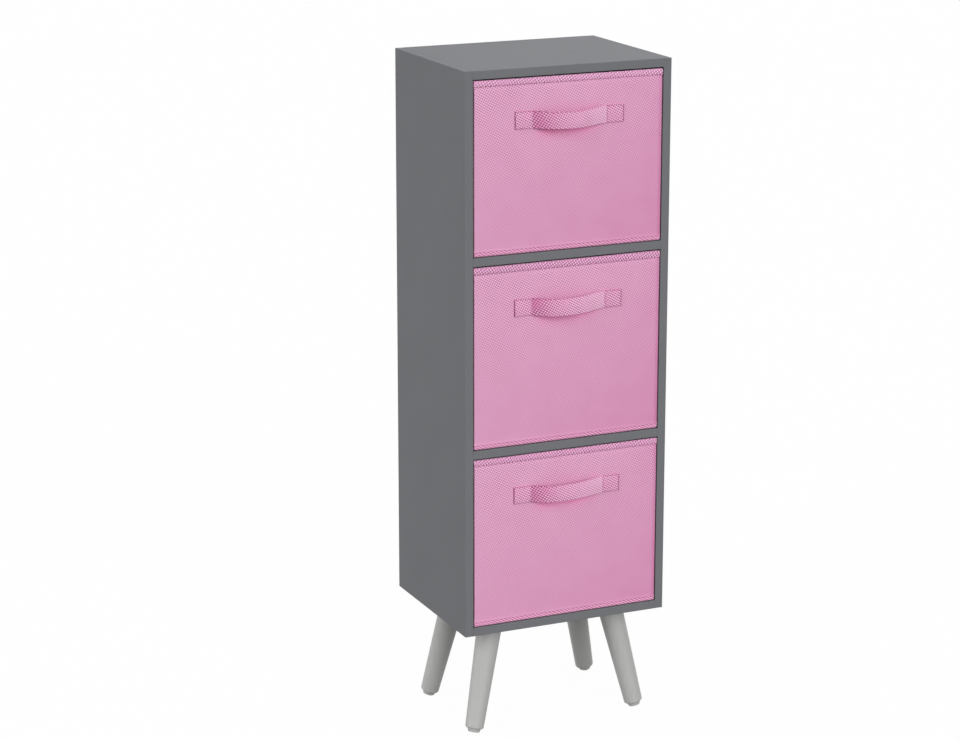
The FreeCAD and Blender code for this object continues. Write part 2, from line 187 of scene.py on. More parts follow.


# Spun-bonded polypropylene felt, rolled hot with slanting rows of small pits: soft, matt, pale between the
# pits and deeper in them. A print is how clear the pits are, how strong their second row is, and how pale the
# felt is; on the cover and the strap that paleness also carries painted light and shade. Where none is given,
# it comes from the piece's own clothPrint attribute.
def pittedFelt(name, shades, pitchMm=3.1, turn=30, depth=0.0003, wobble=0.8, fixedPrint=None, rimTone=None):
    material, tree = newMaterial(name)
    coords = addNode(tree, "ShaderNodeTexCoord").outputs["Object"]
    place = addNode(tree, "ShaderNodeSeparateXYZ", {0: coords}).outputs
    normal = addNode(tree, "ShaderNodeNewGeometry").outputs["Normal"]
    facing = addNode(tree, "ShaderNodeSeparateXYZ", {0: normal}).outputs
    slope = feltLook["wallSlope"]
    sideways = addNode(tree, "ShaderNodeMath", {0: facing["X"]}, operation="ABSOLUTE")
    isSide = addNode(tree, "ShaderNodeMath", {0: sideways, 1: slope}, operation="GREATER_THAN")
    upward = addNode(tree, "ShaderNodeMath", {0: facing["Z"]}, operation="ABSOLUTE")
    isFlat = addNode(tree, "ShaderNodeMath", {0: upward, 1: slope}, operation="GREATER_THAN")
    across = addNode(tree, "ShaderNodeMix", {0: isSide, 2: place["X"], 3: place["Y"]})
    along = addNode(tree, "ShaderNodeMix", {0: isFlat, 2: place["Z"], 3: place["Y"]})
    wall = addNode(tree, "ShaderNodeCombineXYZ", {0: across, 1: along})
    rows = addNode(tree, "ShaderNodeMapping", {"Vector": wall, "Rotation": (0, 0, math.radians(turn))})
    # a wave repeats every 2 * pi / 20 of a unit
    waveScale = math.pi / 10 / (pitchMm / 1000)
    lay = {"Vector": rows, "Scale": waveScale, "Distortion": wobble, **feltLook["rowDetail"]}
    second = addNode(tree, "ShaderNodeTexWave", lay, bands_direction="X")
    first = addNode(tree, "ShaderNodeTexWave", lay, bands_direction="Y")
    if fixedPrint:
        clear, cross, tone = fixedPrint
    else:
        mark = addNode(tree, "ShaderNodeAttribute", attribute_name="clothPrint")
        clear, cross, tone = addNode(tree, "ShaderNodeSeparateXYZ", {0: mark.outputs["Vector"]}).outputs
    # painted shade: a strap's ends and top edge are painted deeper; strapRim is the place along it and across
    # it
    if rimTone:
        mark = addNode(tree, "ShaderNodeAttribute", attribute_name="strapRim")
        rim = addNode(tree, "ShaderNodeSeparateXYZ", {0: mark.outputs["Vector"]}).outputs
        toEnd = addNode(tree, "ShaderNodeMath", {0: rim["X"]}, operation="ABSOLUTE")
        atEnd = addNode(tree, "ShaderNodeMapRange", {"Value": toEnd, **feltLook["endRim"]})
        atTop = addNode(tree, "ShaderNodeMapRange", {"Value": rim["Y"], **feltLook["topRim"]})
        atRim = addNode(tree, "ShaderNodeMath", {0: atEnd, 1: atTop}, operation="MAXIMUM")
        tone = addNode(tree, "ShaderNodeMath", {0: atRim, 1: rimTone, 2: tone}, operation="MULTIPLY_ADD")
    middling = addNode(tree, "ShaderNodeMath", {0: second.outputs["Fac"], 1: 0.5}, operation="SUBTRACT")
    both = addNode(tree, "ShaderNodeMath", {
        0: middling, 1: cross, 2: first.outputs["Fac"]}, operation="MULTIPLY_ADD")
    pits = addNode(tree, "ShaderNodeMath", {0: both, 1: 0.5}, operation="SUBTRACT")
    patch = addNode(tree, "ShaderNodeTexNoise", {
        "Vector": wall, "Scale": 1000 / feltLook["patchMm"], "Detail": feltLook["patchDetail"]})
    worn = addNode(tree, "ShaderNodeMapRange", {"Value": patch.outputs["Fac"], **feltLook["worn"]})
    depthHere = addNode(tree, "ShaderNodeMath", {0: worn, 1: clear}, operation="MULTIPLY")
    pressed = addNode(tree, "ShaderNodeMath", {0: pits, 1: depthHere, 2: tone}, operation="MULTIPLY_ADD")
    cloud = addNode(tree, "ShaderNodeTexNoise", {
        "Vector": wall, "Scale": 1000 / feltLook["cloudMm"], "Detail": feltLook["cloudDetail"]})
    drift = addNode(tree, "ShaderNodeMapRange", {"Value": cloud.outputs["Fac"], **feltLook["drift"]})
    toned = addNode(tree, "ShaderNodeMath", {0: pressed, 1: drift}, operation="ADD")
    tint = addNode(tree, "ShaderNodeValToRGB", {"Fac": toned})
    rampStops(tint, list(zip(feltLook["shadeStops"], shades)))
    # painted bounce light: the colour is multiplied pinker under the strap and in the band along the foot,
    # lightening the shade there as if light bounced between two layers of felt
    shade = addNode(tree, "ShaderNodeAttribute", attribute_name="paintedBounceLight")
    colour = addNode(tree, "ShaderNodeMix", {
        0: shade.outputs["Fac"], 6: tint.outputs["Color"], 7: feltLook["bounceTint"]},
        data_type="RGBA", blend_type="MULTIPLY")
    bump = addNode(tree, "ShaderNodeBump", {
        "Height": pressed, "Strength": feltLook["relief"], "Distance": depth})
    shader = addNode(tree, "ShaderNodeBsdfPrincipled", {
        "Base Color": colour.outputs[2], "Normal": bump, **feltLook["surface"]})
    closeMaterial(tree, shader)
    return material


finishes = {slotName: fleckedFinish(**look) for slotName, look in fleckedLooks.items()}
finishes["grey_board"] = melamineBoard()
finishes["drawer_fabric"] = pittedFelt("pinkDrawerFelt", ("#984f7a", "#c1719b", "#d498ba", "#f0c6dd"))
finishes["binding_fabric"] = pittedFelt(
    "pinkRimTape", ("#864470", "#bc709c", "#d398bc", "#f2cce2"), pitchMm=3.38, turn=-31.2, wobble=1.5)
# the strap felt's rim tone is painted shade along the strap's ends and top edge
finishes["strap_webbing"] = pittedFelt(
    "pinkStrapFelt", ("#7d3560", "#c06594", "#d798bc", "#f6cfe4"), depth=0.0004, rimTone=-0.15)
finishes["lining_fabric"] = pittedFelt(
    "pinkLiningFelt", ("#9a4f7c", "#c4719d", "#d798bc", "#f3c5df"), fixedPrint=(0.35, 0.8, 0.0))
print("materials made:", len(finishes))

slotOf = {part["node"]: part["material_slot"] for part in frame["record"]["subparts"]}
for nodeName, nodeObject in nodes.items():
    nodeObject.data.materials.clear()
    nodeObject.data.materials.append(finishes[slotOf[nodeName]])


def newPiece(name, mesh, body, slotName, *replaced):
    piece = bpy.data.objects.new(name, mesh)
    bpy.context.scene.collection.objects.link(piece)
    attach(piece, body)
    if replaced:
        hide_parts(*replaced)
    return piece


ring = {"step": 0.006, "cornerSteps": 4, "leastCorner": 0.0004, "facing": 0.9}


# Walks round a drawer's plan: front, right, rear, left. Each point has its outward way and its place along
# the wall.
def planRing(low, high, inset, corner):
    radius = max(corner - inset, ring["leastCorner"])
    planCorners = [
        Vector((low.x, low.y)), Vector((high.x, low.y)), Vector((high.x, high.y)), Vector((low.x, high.y))]
    points = []
    for start, end in zip(planCorners, planCorners[1:] + planCorners[:1]):
        way = (end - start).normalized()
        outward = Vector((way.y, -way.x))
        steps = round((end - start).length / ring["step"])
        first = start - outward * inset + way * (inset + radius)
        last = end - outward * inset - way * (inset + radius)
        for step in range(steps + 1):
            points.append((first.lerp(last, step / steps), outward, step / steps))
        for step in range(1, ring["cornerSteps"]):
            turn = math.pi / 2 * step / ring["cornerSteps"]
            lean = outward * math.cos(turn) + way * math.sin(turn)
            points.append((last + (lean - outward) * radius, lean, 0.0))
    return points


def flatPush(point, outward, share, z):
    return 0.0


# Sweeps a profile of (inset, height) pairs round the plan; push moves a point outward
def sweepPlan(
        name, low, high, corner, profile, push=flatPush, loop=False, capFirst=False, capLast=False,
        inward=False):
    bm = bmesh.new()
    rings = []
    for inset, z in profile:
        row = []
        for point, outward, share in planRing(low, high, inset, corner):
            moved = point + outward * push(point, outward, share, z)
            row.append(bm.verts.new((moved.x, moved.y, z)))
        rings.append(row)
    count = len(rings[0])
    pairs = list(zip(rings, rings[1:]))
    if loop:
        pairs.append((rings[-1], rings[0]))
    for lower, upper in pairs:
        for index in range(count):
            after = (index + 1) % count
            quad = (lower[index], lower[after], upper[after], upper[index])
            bm.faces.new(reversed(quad) if inward else quad)
    if capFirst:
        bm.faces.new(reversed(rings[0]))
    if capLast:
        bm.faces.new(rings[-1])
    if loop or (capFirst and capLast):
        bmesh.ops.recalc_face_normals(bm, faces=bm.faces)
    mesh = bpy.data.meshes.new(name)
    bm.to_mesh(mesh)
    bm.free()
    mesh.shade_smooth()
    return mesh


def evenSteps(first, last, step):
    count = max(1, math.ceil(abs(last - first) / step))
    return [first + (last - first) * index / count for index in range(count + 1)]


# No two drawers are sewn quite alike: how far the left wall is drawn in, how round the fold along the foot
# and the edge of the rim are, how far the rim tape hangs below its drawn place, how clear its pits and how
# pale its felt are, and how the strap sags and narrows
sewing = {
    "top_drawer": {
        "drawIn": 0.0006, "fold": 0.0035, "rimEdge": 0.0012, "hang": 0.0002, "rimClear": 0.45,
        "rimTone": 0.02, "sag": 0.0023, "narrow": 0.07},
    "middle_drawer": {
        "drawIn": 0.0004, "fold": 0.0035, "rimEdge": 0.0018, "hang": 0.0014, "rimClear": 0.53,
        "rimTone": -0.04, "sag": 0.0018, "narrow": 0.0},
    "bottom_drawer": {
        "drawIn": 0.0007, "fold": 0.003, "rimEdge": 0.0012, "hang": 0.0003, "rimClear": 0.45,
        "rimTone": -0.025, "sag": 0.0003, "narrow": 0.04},
}

coverCut = {
    "corner": 0.0006, "foldSteps": 6, "sideFold": 0.0015, "lift": 0.0002, "row": 0.0065,
    "fineRow": 0.0006, "strapRow": 0.0022, "cloth": 0.0008, "underneath": (0.04, 0.012),
    "frontFull": 0.00035, "pillow": 0.0003, "pillowShape": 0.7, "wrinkle": 0.00016, "wrinkleLength": 0.048,
    "crease": 0.00005, "creaseLength": 0.013,
    "ridge": 0.00055, "ridgeTop": 0.0108, "ridgeAt": 0.0072, "ridgeFoot": 0.0058,
    "tuck": 0.0005, "tuckReach": 0.006, "pucker": 0.0001, "puckerLength": 0.0095,
}


def easeIn(value, first, last):
    share = max(0.0, min(1.0, (value - first) / (last - first)))
    return share * share * (3 - 2 * share)


# How far a rounded foot of this radius stands back from the wall at a height above it
def footInset(radius, rise):
    lack = max(0.0, radius - rise)
    return radius - math.sqrt(radius ** 2 - lack ** 2)


# The cover is drawn tight over its boards: it swells a little between its edges and ends in a ridge over the
# band along its foot. In front it is tucked in and puckered under the stitched rim, and has a rounder foot.
def coverPush(low, high, hemZ, fold, seed):
    def push(point, outward, share, z):
        rise = z - low.z
        height = max(0.0, min(1.0, rise / (high.z - low.z)))
        swell = coverCut["pillow"] * math.sin(math.pi * share) ** coverCut["pillowShape"]
        swell *= math.sin(math.pi * height)
        where = Vector((point.x, point.y, z))
        wave = noise.noise(where / coverCut["wrinkleLength"] + Vector((seed, 0, 0))) * coverCut["wrinkle"]
        fine = noise.noise(where / coverCut["creaseLength"] + Vector((0, seed, 0))) * coverCut["crease"]
        upper = easeIn(rise, coverCut["ridgeTop"], coverCut["ridgeAt"])
        ridge = coverCut["ridge"] * upper * easeIn(rise, coverCut["ridgeFoot"], coverCut["ridgeAt"])
        held = 1 - easeIn(hemZ - z, 0, coverCut["tuckReach"])
        along = (point.x * abs(outward.y) + point.y * abs(outward.x)) / coverCut["puckerLength"]
        inFront = max(0.0, -outward.y)
        tuck = inFront * held * (coverCut["tuck"] + coverCut["pucker"] * math.cos(2 * math.pi * along))
        full = coverCut["frontFull"] if inFront > ring["facing"] else 0.0
        foot = (1 - inFront) * (footInset(fold, rise) - footInset(coverCut["sideFold"], rise))
        return swell + full + foot - tuck + (wave + fine + ridge) * min(1.0, rise / fold)
    return push


coverPrint = {
    "faint": 0.075, "clear": 0.29, "fade": 1.5, "drift": 0.17, "cross": 1.0,
    "litTop": 0.06, "shadedFoot": -0.09, "litMiddle": 0.042, "middleAt": 0.1, "middleReach": 0.42,
    "bandClear": 0.6, "bandCross": 0.3, "bandTone": 0.005, "creaseShade": -0.07,
    "edge": 0.0015, "edgeShade": -0.13, "strapShade": -0.05, "strapReach": 0.005, "strapEnd": 0.012,
}


# The pits print clear near the rim and to the left, and faint low down. The felt is painted deeper low down
# and to the right, at the right corner and just above the strap, a painted shade, and paler at the top and in
# the middle, a painted light. On the band along the foot one slanting row stands out, and its crease is
# painted darker.
def printCover(mesh, drawer, low, high):
    strapLow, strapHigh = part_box(drawer + "_strap_handle")
    strapTop = strapHigh.z - bounceLightCut["drop"]
    loopEnd = strapHigh.x - strapCut["tab"]
    layer = mesh.attributes.new("clothPrint", "FLOAT_VECTOR", "POINT")
    for vertex in mesh.vertices:
        rise = vertex.co.z - low.z
        height = max(0.0, rise / (high.z - low.z))
        aside = vertex.co.x / (high.x - low.x)
        clear = coverPrint["faint"] + coverPrint["clear"] * height ** coverPrint["fade"]
        clear -= coverPrint["drift"] * aside * height
        # 0 at the top left corner and 1 at the bottom right, for painted light to the top left and painted
        # shade to the bottom right
        fall = (1 - height + aside + 0.5) / 2
        tone = coverPrint["litTop"] + (coverPrint["shadedFoot"] - coverPrint["litTop"]) * fall
        # painted light: the felt is painted paler across the middle, more so higher up
        offMiddle = (aside - coverPrint["middleAt"]) / coverPrint["middleReach"]
        tone += coverPrint["litMiddle"] * height * max(0.0, 1 - offMiddle ** 2)
        # painted shadow: just above the strap the felt is painted deeper, fading upward and towards the
        # loop's ends
        if vertex.co.y < 0 and vertex.co.z > strapLow.z:
            above = max(0.0, vertex.co.z - strapTop)
            nearStrap = math.exp(-above / coverPrint["strapReach"])
            inLoop = easeIn(loopEnd - abs(vertex.co.x), 0.0, coverPrint["strapEnd"])
            tone += coverPrint["strapShade"] * nearStrap * inLoop
        # painted shade: the strip at the right corner, in the gap beside the cabinet side, is painted deeper
        if vertex.co.x > high.x - coverPrint["edge"]:
            tone += coverPrint["edgeShade"]
        mark = (clear, coverPrint["cross"], tone)
        if rise < coverCut["ridgeFoot"]:
            mark = (coverPrint["bandClear"], coverPrint["bandCross"], coverPrint["bandTone"])
        # painted shade: the crease between the ridge and the band is painted deeper
        elif rise < coverCut["ridgeAt"]:
            mark = (coverPrint["bandClear"], coverPrint["bandCross"], coverPrint["creaseShade"])
        layer.data[vertex.index].vector = mark


# how far the painted bounce light reaches below, behind and along the strap, and its weight in the foot band
bounceLightCut = {
    "drop": 0.004, "reach": 0.005, "shadeReaches": 4, "behind": 0.009, "leftEnd": 0.024, "rightEnd": 0.045,
    "band": 0.16,
}


# Two layers of felt lie close together under the strap and in the band along the foot. There the felt is
# painted pinker, a painted bounce light that lightens the shade, strongest just below the strap
def paintBounceLight(mesh, drawer, footZ):
    strapLow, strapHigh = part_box(drawer + "_strap_handle")
    loopEnd = strapHigh.x - strapCut["tab"]
    layer = mesh.attributes.new("paintedBounceLight", "FLOAT", "POINT")
    for vertex in mesh.vertices:
        x, y, z = vertex.co
        if y < 0:
            below = max(0.0, strapLow.z - bounceLightCut["drop"] - z)
            fade = math.exp(-below / bounceLightCut["reach"]) * easeIn(strapLow.z - z, -bounceLightCut["behind"], 0.0)
            end = bounceLightCut["leftEnd"] if x < 0 else bounceLightCut["rightEnd"]
            layer.data[vertex.index].value = fade * easeIn(loopEnd - abs(x), 0.0, end)
        if z < footZ + coverCut["ridgeAt"]:
            layer.data[vertex.index].value = bounceLightCut["band"]


def fabricCover(drawer, seed):
    low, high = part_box(drawer + "_fabric_cover")
    low.x += sewing[drawer]["drawIn"]
    low.z += coverCut["lift"]
    high.z -= bindingCut["settle"]
    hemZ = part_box(drawer + "_rim_binding")[0].z - sewing[drawer]["hang"]
    fold = sewing[drawer]["fold"]
    profile = [(inset, low.z) for inset in coverCut["underneath"]]
    for index in range(coverCut["foldSteps"] + 1):
        turn = math.pi / 2 * index / coverCut["foldSteps"]
        profile.append((fold - fold * math.sin(turn), low.z + fold - fold * math.cos(turn)))
    ridgeTop = low.z + coverCut["ridgeTop"]
    strapLow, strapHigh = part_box(drawer + "_strap_handle")
    shadeEnd = strapLow.z - bounceLightCut["shadeReaches"] * bounceLightCut["reach"]
    strapTop = strapHigh.z + coverPrint["strapReach"]
    tuckZ = hemZ - coverCut["tuckReach"]
    heights = evenSteps(low.z + fold, ridgeTop, coverCut["fineRow"])[1:]
    heights += evenSteps(ridgeTop, shadeEnd, coverCut["row"])[1:]
    heights += evenSteps(shadeEnd, strapTop, coverCut["strapRow"])[1:]
    heights += evenSteps(strapTop, tuckZ, coverCut["row"])[1:]
    heights += evenSteps(tuckZ, hemZ, coverCut["fineRow"])[1:]
    heights += evenSteps(hemZ, high.z, coverCut["row"])[1:]
    profile += [(0.0, z) for z in heights]
    push = coverPush(low, high, hemZ, fold, seed)
    mesh = sweepPlan(drawer + "_cover", low, high, coverCut["corner"], profile, push, capFirst=True)
    printCover(mesh, drawer, low, high)
    paintBounceLight(mesh, drawer, low.z)
    mesh.materials.append(finishes["drawer_fabric"])
    piece = newPiece(drawer + "_cover", mesh, drawer, "drawer_fabric", drawer + "_fabric_cover")
    wall = piece.modifiers.new("cloth", "SOLIDIFY")
    wall.thickness = coverCut["cloth"]
    wall.offset = -1
    return piece


liningCut = {
    "corner": 0.0015, "row": 0.01, "wall": 0.0008, "cloth": 0.0006, "slack": 0.0003, "slackLength": 0.05,
}


# The lining is glued to the boards and hangs a little slack between them
def drawerLining(drawer, seed):
    low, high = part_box(drawer + "_lining")

    def push(point, outward, share, z):
        where = Vector((point.x, point.y, z)) / liningCut["slackLength"]
        return -liningCut["slack"] * (0.5 + 0.5 * noise.noise(where + Vector((seed, seed, 0))))

    profile = [(liningCut["wall"], z) for z in evenSteps(low.z, high.z, liningCut["row"])]
    mesh = sweepPlan(drawer + "_inner_cloth", low, high, liningCut["corner"], profile, push, inward=True)
    mesh.materials.append(finishes["lining_fabric"])
    piece = newPiece(drawer + "_inner_cloth", mesh, drawer, "lining_fabric", drawer + "_lining")
    layer = piece.modifiers.new("cloth", "SOLIDIFY")
    layer.thickness = liningCut["cloth"]
    layer.offset = -1
    return piece


baseCut = {
    "corner": 0.002, "edge": 0.0016, "edgeSteps": 4, "crown": 0.0007, "underneath": 0.03,
    "crownShape": ((0.02, 0.4), (0.05, 0.1), (0.09, 0.0)),
}


# A loose board wrapped in the same cloth, with soft edges and a slight crown
def wrappedBase(drawer):
    low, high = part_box(drawer + "_base_board")
    edge = baseCut["edge"]
    profile = [(baseCut["underneath"], low.z)]
    for centreZ, first in ((low.z + edge, -90), (high.z - baseCut["crown"] - edge, 0)):
        for index in range(baseCut["edgeSteps"] + 1):
            turn = math.radians(first + 90 * index / baseCut["edgeSteps"])
            profile.append((edge - edge * math.cos(turn), centreZ + edge * math.sin(turn)))
    profile += [(inset, high.z - baseCut["crown"] * lack) for inset, lack in baseCut["crownShape"]]
    mesh = sweepPlan(
        drawer + "_wrapped_base", low, high, baseCut["corner"], profile, capFirst=True, capLast=True)
    mesh.materials.append(finishes["lining_fabric"])
    return newPiece(drawer + "_wrapped_base", mesh, drawer, "lining_fabric", drawer + "_base_board")


bindingCut = {
    "corner": 0.001, "tape": 0.0005, "wall": 0.0048, "edgeSteps": 5, "rows": 9, "settle": 0.0004,
    "bulge": 0.0003, "frontBulge": 0.0004, "tuck": 0.0002, "tuckShape": 6,
    "ripple": 0.00012, "rippleLength": 0.021, "cross": 1.05,
}


# The rim binding is a tape folded over the wall: a full out side, tucked in at the seam, a top with
# soft edges, a flat in side, and back inside the tape
def rimBinding(drawer, seed):
    low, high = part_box(drawer + "_rim_binding")
    low.x += sewing[drawer]["drawIn"]
    low.z -= sewing[drawer]["hang"]
    high.z -= bindingCut["settle"]
    tape, edge = bindingCut["tape"], sewing[drawer]["rimEdge"]
    width = bindingCut["wall"] + tape
    bend = high.z - edge
    heights = evenSteps(low.z, bend, (bend - low.z) / bindingCut["rows"])
    outer = [(0.0, z) for z in heights[:-1]]
    inner = [(tape, z) for z in heights[:-1]]
    for middle, first in ((edge, 180), (width - edge, 90)):
        for index in range(bindingCut["edgeSteps"] + 1):
            turn = math.radians(first - 90 * index / bindingCut["edgeSteps"])
            outer.append((middle + edge * math.cos(turn), bend + edge * math.sin(turn)))
            inner.append((middle + (edge - tape) * math.cos(turn), bend + (edge - tape) * math.sin(turn)))
    outer += [(width, z) for z in heights[-2::-1]]
    inner += [(width - tape, z) for z in heights[-2::-1]]

    def push(point, outward, share, z):
        rise = min(1.0, (z - low.z) / (bend - low.z))
        depth = min(point.x - low.x, high.x - point.x, point.y - low.y, high.y - point.y)
        isOut = depth < bindingCut["wall"] / 2
        bulge = bindingCut["frontBulge"] if outward.y < -ring["facing"] else bindingCut["bulge"]
        tuck = bindingCut["tuck"] * (1 - rise) ** bindingCut["tuckShape"]
        full = bulge * math.sin(math.pi * rise) - tuck
        where = Vector((point.x, point.y, seed)) / bindingCut["rippleLength"]
        return (full if isOut else 0.0) + bindingCut["ripple"] * (1 - rise) * noise.noise(where)

    mesh = sweepPlan(
        drawer + "_rim_tape", low, high, bindingCut["corner"], outer + inner[::-1], push, loop=True)
    layer = mesh.attributes.new("clothPrint", "FLOAT_VECTOR", "POINT")
    mark = (sewing[drawer]["rimClear"], bindingCut["cross"], sewing[drawer]["rimTone"])
    layer.data.foreach_set("vector", mark * len(mesh.vertices))
    mesh.materials.append(finishes["binding_fabric"])
    return newPiece(drawer + "_rim_tape", mesh, drawer, "binding_fabric", drawer + "_rim_binding")


def newTree(name, sockets):
    tree = bpy.data.node_groups.new(name, "GeometryNodeTree")
    tree.interface.new_socket("Geometry", in_out="OUTPUT", socket_type="NodeSocketGeometry")
    for socketName, kind in sockets:
        tree.interface.new_socket(socketName, in_out="INPUT", socket_type="NodeSocket" + kind)
    return tree


def setInputs(modifier, values):
    for item in modifier.node_group.interface.items_tree:
        if item.item_type == "SOCKET" and item.in_out == "INPUT" and item.name in values:
            modifier[item.identifier] = values[item.name]


# Runs a node tree on an object once and gives the plain mesh
def meshFromTree(host, tree, values, name):
    modifier = host.modifiers.new(tree.name, "NODES")
    modifier.node_group = tree
    setInputs(modifier, values)
    mesh = bpy.data.meshes.new_from_object(host.evaluated_get(bpy.context.evaluated_depsgraph_get()))
    mesh.name = name
    host.modifiers.remove(modifier)
    bpy.data.objects.remove(host)
    return mesh


strapCut = {
    "tab": 0.026, "bow": 0.0146, "leftSlope": 0.69, "rightSlope": 0.31, "bend": 0.008,
    "thickness": 0.0019, "edge": 0.0006, "edgeSteps": 3, "steps": 151, "sagShare": 0.8, "sagSoft": 0.25,
    "foldShade": -0.21, "foldEnd": -0.36, "litEnd": 0.16, "endShade": -0.4, "cutShare": 0.999,
    "clear": 0.5, "litEndClear": 0.38, "cross": 0.9,
}


# The strap is one flat band, sewn down at both tabs. It rises steeply from the left tab, runs level,
# slopes gently to the right one, and where it stands out it sags and pulls a little narrower.
def strapTree():
    measures = (
        "Length", "Sewn Tab", "Width", "Thickness", "Edge", "Bow", "Left Slope", "Right Slope", "Bend", "Sag",
        "Narrow", "Fold Shade", "Lit End", "End Shade")
    others = [("Place", "Vector"), ("Steps", "Int"), ("Cloth", "Material")]
    tree = newTree("bowedStrap", [(measure, "Float") for measure in measures] + others)
    given = addNode(tree, "NodeGroupInput").outputs
    halfLength = addNode(tree, "ShaderNodeMath", {0: given["Length"], 1: 0.5}, operation="MULTIPLY")
    minusHalf = addNode(tree, "ShaderNodeMath", {0: given["Length"], 1: -0.5}, operation="MULTIPLY")
    start = addNode(tree, "ShaderNodeCombineXYZ", {0: minusHalf})
    end = addNode(tree, "ShaderNodeCombineXYZ", {0: halfLength})
    line = addNode(tree, "GeometryNodeCurvePrimitiveLine", {"Start": start, "End": end})
    band = addNode(tree, "GeometryNodeResampleCurve", {"Curve": line, "Count": given["Steps"]})
    place = addNode(tree, "ShaderNodeSeparateXYZ", {0: addNode(tree, "GeometryNodeInputPosition")}).outputs
    span = addNode(tree, "ShaderNodeMath", {0: halfLength, 1: given["Sewn Tab"]}, operation="SUBTRACT")
    fromLeft = addNode(tree, "ShaderNodeMath", {0: place["X"], 1: span}, operation="ADD")
    fromRight = addNode(tree, "ShaderNodeMath", {0: span, 1: place["X"]}, operation="SUBTRACT")
    up = addNode(tree, "ShaderNodeMath", {0: fromLeft, 1: given["Left Slope"]}, operation="MULTIPLY")
    down = addNode(tree, "ShaderNodeMath", {0: fromRight, 1: given["Right Slope"]}, operation="MULTIPLY")
    slopes = addNode(tree, "ShaderNodeMath", {0: up, 1: down, 2: given["Bend"]}, operation="SMOOTH_MIN")
    level = addNode(tree, "ShaderNodeMath", {
        0: slopes, 1: given["Bow"], 2: given["Bend"]}, operation="SMOOTH_MIN")
    out = addNode(tree, "ShaderNodeMath", {0: level, 1: 0.0}, operation="MAXIMUM")
    # the sag is a parabola over most of the free span, eased out at its ends
    sagSpan = addNode(tree, "ShaderNodeMath", {0: span, 1: strapCut["sagShare"]}, operation="MULTIPLY")
    fromMiddle = addNode(tree, "ShaderNodeMath", {0: place["X"], 1: sagSpan}, operation="DIVIDE")
    squared = addNode(tree, "ShaderNodeMath", {0: fromMiddle, 1: fromMiddle}, operation="MULTIPLY")
    parabola = addNode(tree, "ShaderNodeMath", {0: 1.0, 1: squared}, operation="SUBTRACT")
    hanging = addNode(tree, "ShaderNodeMath", {
        0: parabola, 1: 0.0, 2: strapCut["sagSoft"]}, operation="SMOOTH_MAX")
    drop = addNode(tree, "ShaderNodeMath", {0: hanging, 1: given["Sag"]}, operation="MULTIPLY")
    outward = addNode(tree, "ShaderNodeCombineXYZ", {1: out, 2: drop})
    offset = addNode(tree, "ShaderNodeVectorMath", {0: (0, 0, 0), 1: outward}, operation="SUBTRACT")
    path = addNode(tree, "GeometryNodeSetPosition", {"Geometry": band, "Offset": offset})
    upright = addNode(tree, "GeometryNodeSetCurveNormal", {"Curve": path}, mode="Z_UP")
    section = addNode(tree, "GeometryNodeCurvePrimitiveQuadrilateral", {
        "Width": given["Thickness"], "Height": given["Width"]})
    rounded = addNode(tree, "GeometryNodeFilletCurve", {
        "Curve": section, "Radius": given["Edge"], "Count": strapCut["edgeSteps"]}, mode="POLY")
    bowShare = addNode(tree, "ShaderNodeMath", {0: out, 1: given["Bow"]}, operation="DIVIDE")
    lost = addNode(tree, "ShaderNodeMath", {0: bowShare, 1: given["Narrow"]}, operation="MULTIPLY")
    kept = addNode(tree, "ShaderNodeMath", {0: 1.0, 1: lost}, operation="SUBTRACT")
    swept = addNode(tree, "GeometryNodeCurveToMesh", {
        "Curve": upright, "Profile Curve": rounded, "Scale": kept, "Fill Caps": True})
    smooth = addNode(tree, "GeometryNodeSetShadeSmooth", {"Geometry": swept})
    # painted shade: the felt is painted deeper where it folds up from the left tab, facing away from the
    # light, and at its cut ends; painted light: it is painted paler on the right, where its pits are also
    # printed fainter
    share = addNode(tree, "ShaderNodeMath", {0: place["X"], 1: span}, operation="DIVIDE")
    offMiddle = addNode(tree, "ShaderNodeMath", {0: share}, operation="ABSOLUTE")
    isLoop = addNode(tree, "ShaderNodeMath", {0: offMiddle, 1: 1.0}, operation="LESS_THAN")
    deep = addNode(tree, "ShaderNodeMapRange", {
        "Value": share, "From Min": -1.0, "From Max": strapCut["foldEnd"],
        "To Min": given["Fold Shade"], "To Max": 0.0})
    pale = addNode(tree, "ShaderNodeMapRange", {
        "Value": share, "From Min": strapCut["foldEnd"], "From Max": 1.0,
        "To Min": 0.0, "To Max": given["Lit End"]})
    shaded = addNode(tree, "ShaderNodeMath", {0: deep, 1: pale}, operation="ADD")
    onLoop = addNode(tree, "ShaderNodeMath", {0: shaded, 1: isLoop}, operation="MULTIPLY")
